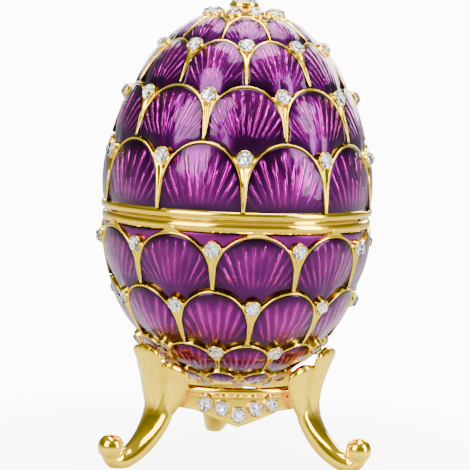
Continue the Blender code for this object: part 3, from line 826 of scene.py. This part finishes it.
class EGG_OT_lid(Operator):
    """Makes the lid: rim, rows of enamelled scales, crown and the cup on top"""

    bl_idname = "jewelled_egg.lid"
    bl_label = "Make the lid"

    def execute(self, context):
        egg, sizes = context.scene.egg_sizes, context.scene.crystal_sizes
        half = lid_half()
        skin = Skin(half, lid_rows())
        foot = SEAM + SEAM_GAP
        bowl, depth = half.radius - egg.rim_wall, egg.lid_rise - egg.wall
        for k in range(1, BOWL_RINGS + 1):
            t = math.pi / 2 * (1 - k / BOWL_RINGS)
            skin.turned(bowl * math.cos(t), max(SEAM + depth * math.sin(t), foot))
        skin.turned(half.radius - LID_EDGE, foot)
        skin.rim(foot + HEM, foot + egg.lid_rim)
        skin.scales(LID_START)
        cap_arc = math.degrees(math.acos(sizes.crown_radius / half.radius))
        for share in (0.0, 0.5, 1.0):
            skin.laid([(low + share * (cap_arc - low), sizes.crown_rise) for low in skin.lower])
        top = SEAM + egg.lid_rise + sizes.cup
        radius = sizes.finial_width / 2 + sizes.border
        cap = half.profile(cap_arc)[1]
        crown_inset, crown_step = 0.25 * MM, 0.45 * MM
        for ring_radius, height in (
            (sizes.crown_radius - crown_inset, cap + crown_step),
            (sizes.neck + CORNER, top - 0.95 * sizes.cup),
            (sizes.neck, top - 0.75 * sizes.cup),
            (radius - SOFT_CORNER, top - 0.42 * sizes.cup),
            (radius, top - 0.25 * sizes.cup),
            (radius, top - HEM),
            (radius - HEM, top),
        ):
            skin.turned(ring_radius, height)
        shape = shell_of(skin.gold, place(0, 0, SEAM + depth), place(0, 0, top))
        casting = show("lid_casting", mesh_of(shape, "lid_casting"), finish(plate_gold))
        hand_over(casting, "gold", "lid")
        hand_over(enamel_piece("lid_enamel", skin, finish(cloisonne_enamel)), "enamel")
        return {"FINISHED"}


class EGG_OT_base(Operator):
    """Makes the base: foot disc, rows of enamelled scales, rim, lip and hollow"""

    bl_idname = "jewelled_egg.base"
    bl_label = "Make the base"

    def execute(self, context):
        egg = context.scene.egg_sizes
        half = base_half()
        skin = Skin(half, base_rows())
        disc, under = half.profile(BASE_START)
        foot_bead_mm = ((0.8, 0.0), (0.84, 0.12), (0.9, 0.18), (0.97, 0.12))
        for share, drop in foot_bead_mm:
            skin.turned(disc * share, under - drop * MM)
        skin.scales(BASE_START)
        sliver, fill_lift = 0.01, 0.1 * MM
        ends = [max(BASE_END, low + sliver) for low in skin.lower]
        # Between the uppermost arches and the rim lies the foot of one more row, cut off by it
        between = (skin.rows[-1]["phase"] + 0.5) % 1.0
        last = dict(skin.rows[-1], phase=between, engraved=False)
        skin.bed(skin.lower, ends, lambda share, side: fill_lift, last)
        skin.rim(SEAM - egg.base_rim, SEAM)
        lip = half.radius + egg.overhang - egg.rim_wall - egg.lip_clearance
        lip_top, bowl = SEAM + egg.lip_height, lip - egg.lip_wall
        for radius, height in (
            (lip, SEAM),
            (lip, lip_top - CORNER),
            (lip - CORNER, lip_top),
            (bowl + CORNER, lip_top),
            (bowl, lip_top - CORNER),
        ):
            skin.turned(radius, height)
        depth = SEAM - under - egg.floor
        for k in range(BOWL_RINGS):
            t = math.pi / 2 * k / BOWL_RINGS
            skin.turned(bowl * math.cos(t), SEAM - depth * math.sin(t))
        shape = shell_of(skin.gold, place(0, 0, under), place(0, 0, SEAM - depth))
        casting = show("base_casting", mesh_of(shape, "base_casting"), finish(plate_gold))
        hand_over(casting, "gold", "base")
        hand_over(enamel_piece("base_enamel", skin, finish(cloisonne_enamel)), "enamel")
        return {"FINISHED"}


class EGG_OT_crystals(Operator):
    """Sets the crystals of the lid, the crown, the top and the base"""

    bl_idname = "jewelled_egg.crystals"
    bl_label = "Set the egg's crystals"

    def execute(self, context):
        egg, sizes = context.scene.egg_sizes, context.scene.crystal_sizes
        lid, base = lid_half(), base_half()
        proud = egg.scale_rise + 0.5 * sizes.gap
        size, depth, reach = (sizes.width, sizes.height), sizes.depth, sizes.cup_reach
        lids = [p for row in lid_rows()[:-1] for p in junctions(lid, row, proud + egg.line_rise)]
        set_crystals("lid", lids, size, depth, reach, named("lid_crystal"))
        crown = dict(lid_rows()[-1], jewel=CROWN_ARC)
        places = junctions(lid, crown, sizes.crown_rise + 0.5 * sizes.gap)
        set_crystals("crown", places, size, depth, reach, named("crown_crystal"))
        bases = [p for row in base_rows()[1:] for p in junctions(base, row, proud)]
        set_crystals("base", bases, size, depth, reach)
        low = junctions(base, dict(base_rows()[0], jewel=LOWEST_ARC), sizes.lowest_lift)
        small = (sizes.lowest_width, sizes.lowest_height)
        set_crystals("lowest", low, small, LOWEST_DEPTH, LOWEST_CUP)
        top = SEAM + egg.lid_rise + sizes.cup + HEM
        finial = [(place(0, 0, top), Vector((0, 0, 1)))]
        large = (sizes.finial_width, sizes.finial_height + sizes.gap - HEM)
        set_crystals("finial", finial, large, sizes.deep, FINIAL_CUP, ["finial_crystal"])
        return {"FINISHED"}


def smooth_path(points, count):
    """Points spread along a smooth curve through the given ones."""
    ends = [2 * points[0] - points[1]] + points + [2 * points[-1] - points[-2]]
    found, spans = [], len(points) - 1
    for i in range(count):
        along = spans * i / (count - 1)
        k = min(int(along), spans - 1)
        t = along - k
        a, b, c, d = ends[k : k + 4]
        bend = (2 * a - 5 * b + 4 * c - d) * t**2 + (3 * b - a - 3 * c + d) * t**3
        found.append(0.5 * (2 * b + (c - a) * t + bend))
    return found


class StandPlan:
    """The stand's routes, from the same sizes as its solid."""

    def __init__(self, stand):
        self.stand = stand
        self.plate = stand.ring_radius - stand.plate_inset
        self.stem = self.plate - stand.stem_lap + stand.stem_thickness / 2

    def leaf_tip(self):
        """How far out a leaf's middle stands, clear of the crystals that lean on it."""
        egg, sizes = bpy.context.scene.egg_sizes, bpy.context.scene.crystal_sizes
        drop = (SEAM - self.stand.leaf_top) / egg.base_depth
        jewels = JEWEL_LEAN * (egg.scale_rise + sizes.gap + sizes.height)
        surface = egg.radius * math.sqrt(1.0 - drop**2)
        return surface + jewels + CRADLE_GAP + self.stand.leaf_thickness / 2

    def leg(self):
        """A leg's route from its leaf to its foot, as (radius, height, width, thickness)."""
        s, stem = self.stand, self.stem
        tip = self.leaf_tip()
        lean, reach = tip - stem, s.foot_radius - stem
        sole = s.foot_thickness / 2 - s.foot_flat
        leaf, thick, foot = s.leaf_thickness, s.stem_thickness, s.foot_thickness
        return [
            (tip, s.leaf_top, 0.35 * s.leaf_width, 0.6 * leaf),
            (tip - 0.12 * leaf, s.leaf_top - 0.16 * s.leaf_width, s.leaf_width, leaf),
            (stem + 0.62 * lean, s.leaf_top - 0.5 * s.leaf_width, 0.92 * s.leaf_width, leaf),
            (stem + 0.12 * leaf, s.ring_top - s.bead, 0.8 * s.leaf_width, thick),
            (stem, s.stem_height, s.stem_width, thick),
            (stem + 0.12 * reach, 0.70 * s.stem_height, 0.9 * s.stem_width, thick),
            (stem + 0.32 * reach, 0.42 * s.stem_height, 0.72 * s.stem_width, 1.05 * foot),
            (stem + 0.58 * reach, sole + 0.25 * foot, s.foot_width, foot),
            (stem + 0.83 * reach, sole, 0.84 * s.foot_width, foot),
            (stem + 1.01 * reach, sole + 0.2 * foot, 0.7 * s.foot_width, 0.75 * foot),
            (stem + 1.05 * reach, s.ball_height - 0.2 * foot, 0.55 * s.foot_width, 0.5 * foot),
        ]

    def lobe(self, side):
        """A side lobe's route, as (radius, angle, height, width, thickness)."""
        s, stem = self.stand, self.stem
        arc, wide, thick = side * SIDE_LOBE_ARC, s.lobe_width, s.leaf_thickness
        drop = s.lobe_top - s.stem_height
        return [
            (stem + 0.60 * thick, 1.05 * arc, s.lobe_top, 0.35 * wide, 0.5 * thick),
            (stem + 0.55 * thick, arc, s.lobe_top - 0.1 * drop, 0.85 * wide, thick),
            (stem + 0.25 * thick, 0.85 * arc, s.lobe_top - 0.34 * drop, wide, thick),
            (stem, 0.55 * arc, s.lobe_top - 0.7 * drop, 0.9 * wide, 1.2 * thick),
            (stem, 0.2 * arc, s.stem_height - 0.1 * drop, 0.55 * wide, 1.2 * thick),
        ]

    def plate_foot(self, angle):
        step = 360.0 / LEGS
        away = abs((angle + step / 2) % step - step / 2)
        s = self.stand
        return s.plate_tip + (s.plate_side - s.plate_tip) * min(away / PLATE_HALF_ARC, 1.0)


def add_loft(shape, route, turn, stations, sides):
    """Adds a closed solid along a route of (radius, angle, height, width, thickness)."""
    path = smooth_path([Vector(point) for point in route], stations)
    spots = [place(p[0], p[1] + turn, p[2]) for p in path]
    rings = []
    for i, (p, spot) in enumerate(zip(path, spots)):
        along = spots[min(i + 1, stations - 1)] - spots[max(i - 1, 0)]
        out = heading(1.0, 0.0, p[1] + turn)
        side = out.cross(Vector((0, 0, 1))).normalized()
        side = (side - side.project(along)).normalized()
        face = along.cross(side).normalized()
        ring = []
        for j in range(sides):
            t = 2 * math.pi * j / sides
            offset = face * (0.5 * p[4] * math.sin(t))
            ring.append(shape.verts.new(spot + side * (0.5 * p[3] * math.cos(t)) + offset))
        rings.append(ring)
    join_up(shape, rings)
    shape.faces.new(list(reversed(rings[0])))
    shape.faces.new(rings[-1])


def add_ring(shape, plan, columns=240, bead_steps=8):
    """Adds the ring: a bead over a plate that widens to three pendants."""
    s = plan.stand
    inner, neck_inset = plan.plate - s.plate, 0.12 * MM
    middle = (s.ring_radius + inner + BEAD_INSET) / 2
    half = (s.ring_radius - inner - BEAD_INSET) / 2
    rings = []
    for i in range(columns):
        angle = 360.0 * i / columns
        foot = plan.plate_foot(angle)
        outline = [(inner, foot + SOFT_CORNER), (inner, s.ring_top - 0.4 * s.bead)]
        for k in range(bead_steps + 1):
            t = math.pi * (1 - k / bead_steps)
            sag = 0.42 * s.bead * (1 - math.sin(t))
            outline.append((middle + half * math.cos(t), s.ring_top - sag))
        outline += [
            (s.ring_radius, s.ring_top - 0.7 * s.bead),
            (plan.plate - neck_inset, s.ring_top - s.bead),
            (plan.plate, s.ring_top - s.bead - BEAD_INSET),
            (plan.plate, foot + SOFT_CORNER),
            (plan.plate - SOFT_CORNER, foot),
            (inner + SOFT_CORNER, foot),
        ]
        rings.append([shape.verts.new(place(radius, angle, height)) for radius, height in outline])
    join_round(shape, rings)


def engrave_veins(mesh, stand):
    """Presses veins into the outer face of each leaf, fanning up from the stem."""
    step, facing_out = 360.0 / LEGS, 0.3
    normals = [normal.vector.copy() for normal in mesh.vertex_normals]
    for vertex, normal in zip(mesh.vertices, normals):
        share = (vertex.co.z - stand.stem_height) / (stand.leaf_top - stand.stem_height)
        angle = math.degrees(math.atan2(vertex.co.x, AXIS_Y - vertex.co.y)) % step - step / 2
        outward = Vector((vertex.co.x, vertex.co.y - AXIS_Y, 0.0)).normalized()
        if not 0.0 < share < 1.0 or normal.dot(outward) < facing_out:
            continue
        spread = VEIN_START + (1.0 - VEIN_START) * share
        nearest = min(abs(angle - vein * spread) for vein in VEINS)
        depth = stand.vein_depth * math.sin(math.pi * share) ** 0.5
        vertex.co -= normal * depth * math.exp(-((nearest / VEIN_HALF_ARC) ** 2))


class EGG_OT_stand(Operator):
    """Makes the stand: a ring with pendants on three leaf-topped legs, cast in one"""

    bl_idname = "jewelled_egg.stand"
    bl_label = "Make the stand"

    def execute(self, context):
        sizes = context.scene.stand_sizes
        plan = StandPlan(sizes)
        shape = bmesh.new()
        add_ring(shape, plan)
        route = [(p[0], 0.0, p[1], p[2], p[3]) for p in plan.leg()]
        for k in range(LEGS):
            turn = (k + 0.5) * 360.0 / LEGS
            add_loft(shape, route, turn, LEG_STATIONS, LEG_SIDES)
            for side in (-1, 1):
                add_loft(shape, plan.lobe(side), turn, LOBE_STATIONS, LOBE_SIDES)
            ball = Matrix.Translation(place(sizes.foot_radius, turn, sizes.ball_height))
            bmesh.ops.create_uvsphere(
                shape, u_segments=32, v_segments=20, radius=sizes.ball_radius, matrix=ball
            )
        bmesh.ops.recalc_face_normals(shape, faces=shape.faces)
        stand = show("stand_casting", mesh_of(shape, "stand_casting"), finish(plate_gold))
        cast = stand.modifiers.new("cast in one", "REMESH")
        cast.mode = "VOXEL"
        cast.voxel_size = sizes.grain
        soften = stand.modifiers.new("polish", "SMOOTH")
        soften.factor = 0.5
        soften.iterations = 5
        finished(stand)
        engrave_veins(stand.data, sizes)
        for vertex in stand.data.vertices:
            vertex.co.z = max(vertex.co.z, 0.0)
        stand.data.shade_smooth()
        stand.data.materials.clear()
        stand.data.materials.append(finish(plate_gold))
        hand_over(stand, "gold", "stand")
        return {"FINISHED"}


class EGG_OT_stand_crystals(Operator):
    """Sets five crystals on each of the stand's pendants"""

    bl_idname = "jewelled_egg.stand_crystals"
    bl_label = "Set the stand's crystals"

    def execute(self, context):
        s, sizes = context.scene.stand_sizes, context.scene.crystal_sizes
        plan = StandPlan(s)
        places = []
        for k in range(LEGS):
            for number in range(PLATE_JEWELS):
                away = number - (PLATE_JEWELS - 1) / 2
                angle = 360.0 * k / LEGS + PLATE_JEWEL_PITCH * away
                height = s.plate_tip + s.jewel_margin + s.jewel_lift * abs(away) ** PLATE_JEWEL_BEND
                spot = place(plan.plate + sizes.gap, angle, height)
                places.append((spot, heading(1.0, 0.0, angle)))
        size = (sizes.width, sizes.height)
        set_crystals("stand", places, size, sizes.deep, STAND_CUP, named("stand_crystal"))
        return {"FINISHED"}


class EGG_OT_stage(Operator):
    """Sets the pale floor, the soft light and the camera"""

    bl_idname = "jewelled_egg.stage"
    bl_label = "Set the stage"

    def execute(self, context):
        self.floor(context)
        self.world(context)
        self.lights()
        self.camera(context)
        return {"FINISHED"}

    def floor(self, context):
        """A pale floor that thins out round the feet, so that it stays white to the eye."""
        half, sink = 1.5, 0.02 * MM
        mesh = bpy.data.meshes.new("floor")
        corners = [(-half, -half, 0), (half, -half, 0), (half, half, 0), (-half, half, 0)]
        mesh.from_pydata(corners, [], [(0, 1, 2, 3)])
        material, tree, shader = new_material("matt white floor")
        tint = (*context.scene.finishes.floor, 1.0)
        where = add_node(tree, "ShaderNodeTexCoord").outputs["Object"]
        away = add_node(tree, "ShaderNodeVectorMath", {"operation": "LENGTH"}, _0=where)
        fade = add_node(
            tree, "ShaderNodeMapRange", SMOOTH,
            Value=away.outputs["Value"], From_Min=20 * MM, From_Max=75 * MM, To_Min=0.4, To_Max=0.0,
        )
        fill(tree, shader, Base_Color=tint, Roughness=0.6, Alpha=fade)
        floor = show("floor", mesh, material)
        floor.data.transform(Matrix.Translation((0, 0, -sink)))

    def world(self, context):
        """White to the eye; to reflections a studio with a bright table, dim walls and a ceiling."""
        world = bpy.data.worlds.new("studio")
        context.scene.world = world
        world.use_nodes = True
        tree = world.node_tree
        tree.nodes.clear()
        where = add_node(tree, "ShaderNodeTexCoord").outputs["Generated"]
        up = add_node(tree, "ShaderNodeSeparateXYZ", _0=where).outputs[2]
        height = add_node(tree, "ShaderNodeMapRange", Value=up, From_Min=-1.0, From_Max=1.0)
        ramp = add_node(tree, "ShaderNodeValToRGB", _0=height)
        stops = (
            (0.0, 0.3), (0.2, 1.2), (0.35, 2.0), (0.48, 0.9),
            (0.55, 0.4), (0.65, 0.18), (0.75, 0.25), (0.9, 0.5),
        )
        white_to_eye = 12.0
        given = ramp.color_ramp.elements
        for number, (at, grey) in enumerate(stops):
            stop = given[number] if number < 2 else given.new(at)
            stop.position = at
            stop.color = (grey, grey, grey, 1.0)
        studio = add_node(tree, "ShaderNodeBackground", _0=ramp, _1=1.0)
        plain = add_node(tree, "ShaderNodeBackground", _0=(1.0, 1.0, 1.0, 1.0), _1=white_to_eye)
        path = add_node(tree, "ShaderNodeLightPath")
        mix = add_node(
            tree, "ShaderNodeMixShader", _0=path.outputs["Is Camera Ray"],
            _1=studio, _2=plain,
        )
        add_node(tree, "ShaderNodeOutputWorld", Surface=mix)

    def lights(self):
        """Soft boxes: each one's place and size in metres, and its power in watts."""
        for name, spot, size, power in (
            ("left softbox", (-0.32, -0.30, 0.28), (0.30, 0.40), 4.8),
            ("right softbox", (0.36, -0.22, 0.20), (0.16, 0.40), 3.4),
            ("top softbox", (0.04, 0.02, 0.46), (0.30, 0.30), 4.6),
            ("back strip", (0.10, 0.42, 0.22), (0.50, 0.25), 4.0),
        ):
            light = bpy.data.lights.new(name, "AREA")
            light.shape = "RECTANGLE"
            light.size, light.size_y = size
            light.energy = power
            lamp = bpy.data.objects.new(name, light)
            bpy.context.scene.collection.objects.link(lamp)
            aim = Vector((0.0, AXIS_Y, SEAM)) - Vector(spot)
            turn = aim.to_track_quat("-Z", "Y").to_matrix().to_4x4()
            lamp.matrix_world = Matrix.Translation(spot) @ turn
            lamp.visible_camera = False

    def camera(self, context):
        """The photo's view: slightly from the left, a little above, and tilted."""
        picture, focal = 470, 1882.5
        distance, height, shift = 285.3 * MM, 59.55 * MM, 0.075 * MM
        azimuth, pitch, roll = map(math.radians, (6.65, 5.13, 2.22))
        flat = Vector((math.sin(azimuth), math.cos(azimuth), 0.0))
        right = Vector((math.cos(azimuth), -math.sin(azimuth), 0.0))
        ahead = flat * math.cos(pitch) - Vector((0, 0, 1)) * math.sin(pitch)
        up = right.cross(ahead)
        side = right * math.cos(roll) + up * math.sin(roll)
        top = up * math.cos(roll) - right * math.sin(roll)
        spot = Vector((0.0, AXIS_Y, height)) - flat * distance - right * shift
        data = bpy.data.cameras.new("camera")
        data.sensor_width = 36.0
        data.lens = data.sensor_width * focal / picture
        data.clip_start = 0.01
        camera = bpy.data.objects.new("camera", data)
        context.scene.collection.objects.link(camera)
        turn = Matrix((side, top, -ahead)).transposed().to_4x4()
        camera.matrix_world = Matrix.Translation(spot) @ turn
        context.scene.camera = camera


class EGG_PT_panel(Panel):
    """Lists the sizes, the finishes and the steps"""

    bl_label = "Jewelled egg"
    bl_idname = "EGG_PT_panel"
    bl_space_type = "VIEW_3D"
    bl_region_type = "UI"
    bl_category = "Jewelled egg"

    def draw(self, context):
        for group in ("egg_sizes", "crystal_sizes", "stand_sizes", "finishes"):
            box = self.layout.box()
            settings = getattr(context.scene, group)
            for key in settings.__annotations__:
                box.prop(settings, key)
        for operator in STEPS:
            self.layout.operator(operator.bl_idname)


GROUPS = {
    "egg_sizes": EggSizes,
    "crystal_sizes": CrystalSizes,
    "stand_sizes": StandSizes,
    "finishes": Finishes,
}
STEPS = (EGG_OT_stage, EGG_OT_lid, EGG_OT_base, EGG_OT_crystals, EGG_OT_stand, EGG_OT_stand_crystals)


def register():
    for group in GROUPS.values():
        bpy.utils.register_class(group)
    for operator in STEPS:
        bpy.utils.register_class(operator)
    bpy.utils.register_class(EGG_PT_panel)
    for name, group in GROUPS.items():
        setattr(bpy.types.Scene, name, PointerProperty(type=group))


def unregister():
    for name in GROUPS:
        delattr(bpy.types.Scene, name)
    bpy.utils.unregister_class(EGG_PT_panel)
    for operator in reversed(STEPS):
        bpy.utils.unregister_class(operator)
    for group in reversed(list(GROUPS.values())):
        bpy.utils.unregister_class(group)


def main():
    register()
    bpy.ops.jewelled_egg.stage()
    bpy.ops.jewelled_egg.lid()
    bpy.ops.jewelled_egg.base()
    bpy.ops.jewelled_egg.crystals()
    bpy.ops.jewelled_egg.stand()
    bpy.ops.jewelled_egg.stand_crystals()


if __name__ == "__main__":
    main()
